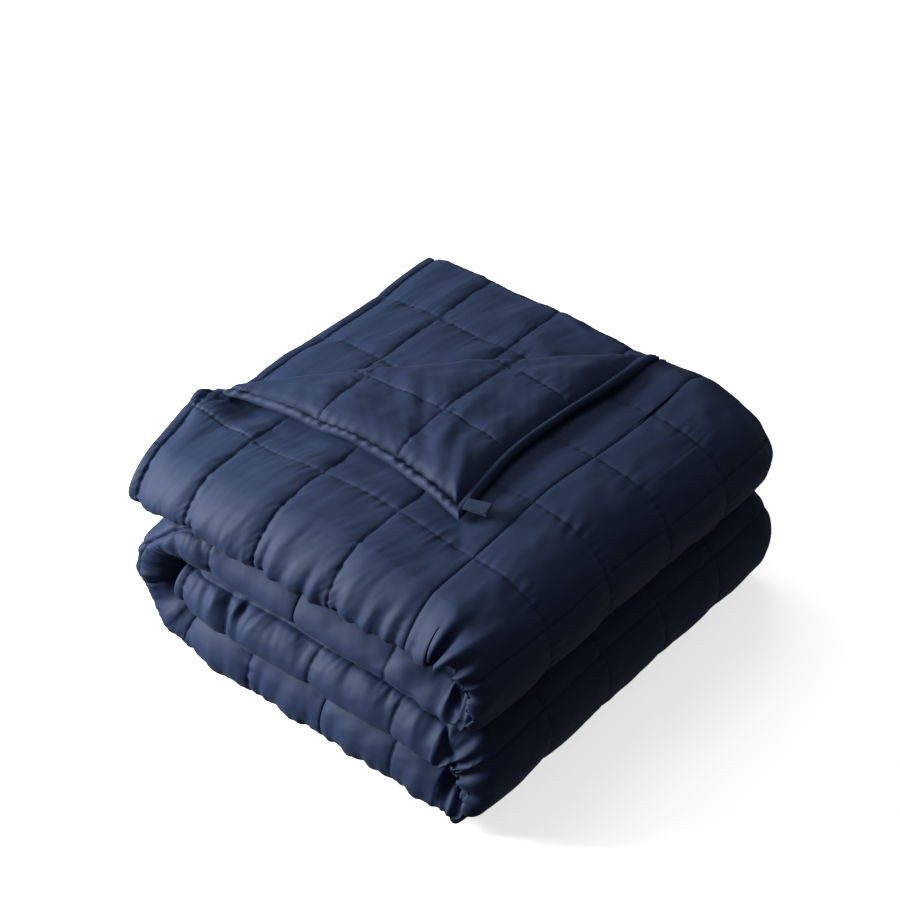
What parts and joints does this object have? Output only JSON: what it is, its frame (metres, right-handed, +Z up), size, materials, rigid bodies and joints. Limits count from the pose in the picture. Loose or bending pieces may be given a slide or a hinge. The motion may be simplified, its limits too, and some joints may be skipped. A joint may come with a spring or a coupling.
{
  "type": "folded weighted blanket",
  "caption": "Quilted weighted blanket folded in thirds and then in four into a thick stack, with one top corner turned back to show its reverse and a small tape loop at the corner.",
  "frame": {"origin": "on the resting surface, under the middle of the folded stack's box", "axes": "+Z up; -Y is the side with the rolled edges of the thirds; +X is the side with the two round bends"},
  "size_m": [0.4964, 0.522, 0.2863],
  "materials": {
    "quilted_cloth": "smooth navy woven cloth with a slight sheen",
    "tape": "plain woven navy tape"
  },
  "bodies": {
    "root": {"blanket": "quilted_cloth", "corner_tab": "tape"}
  },
  "joints": []
}
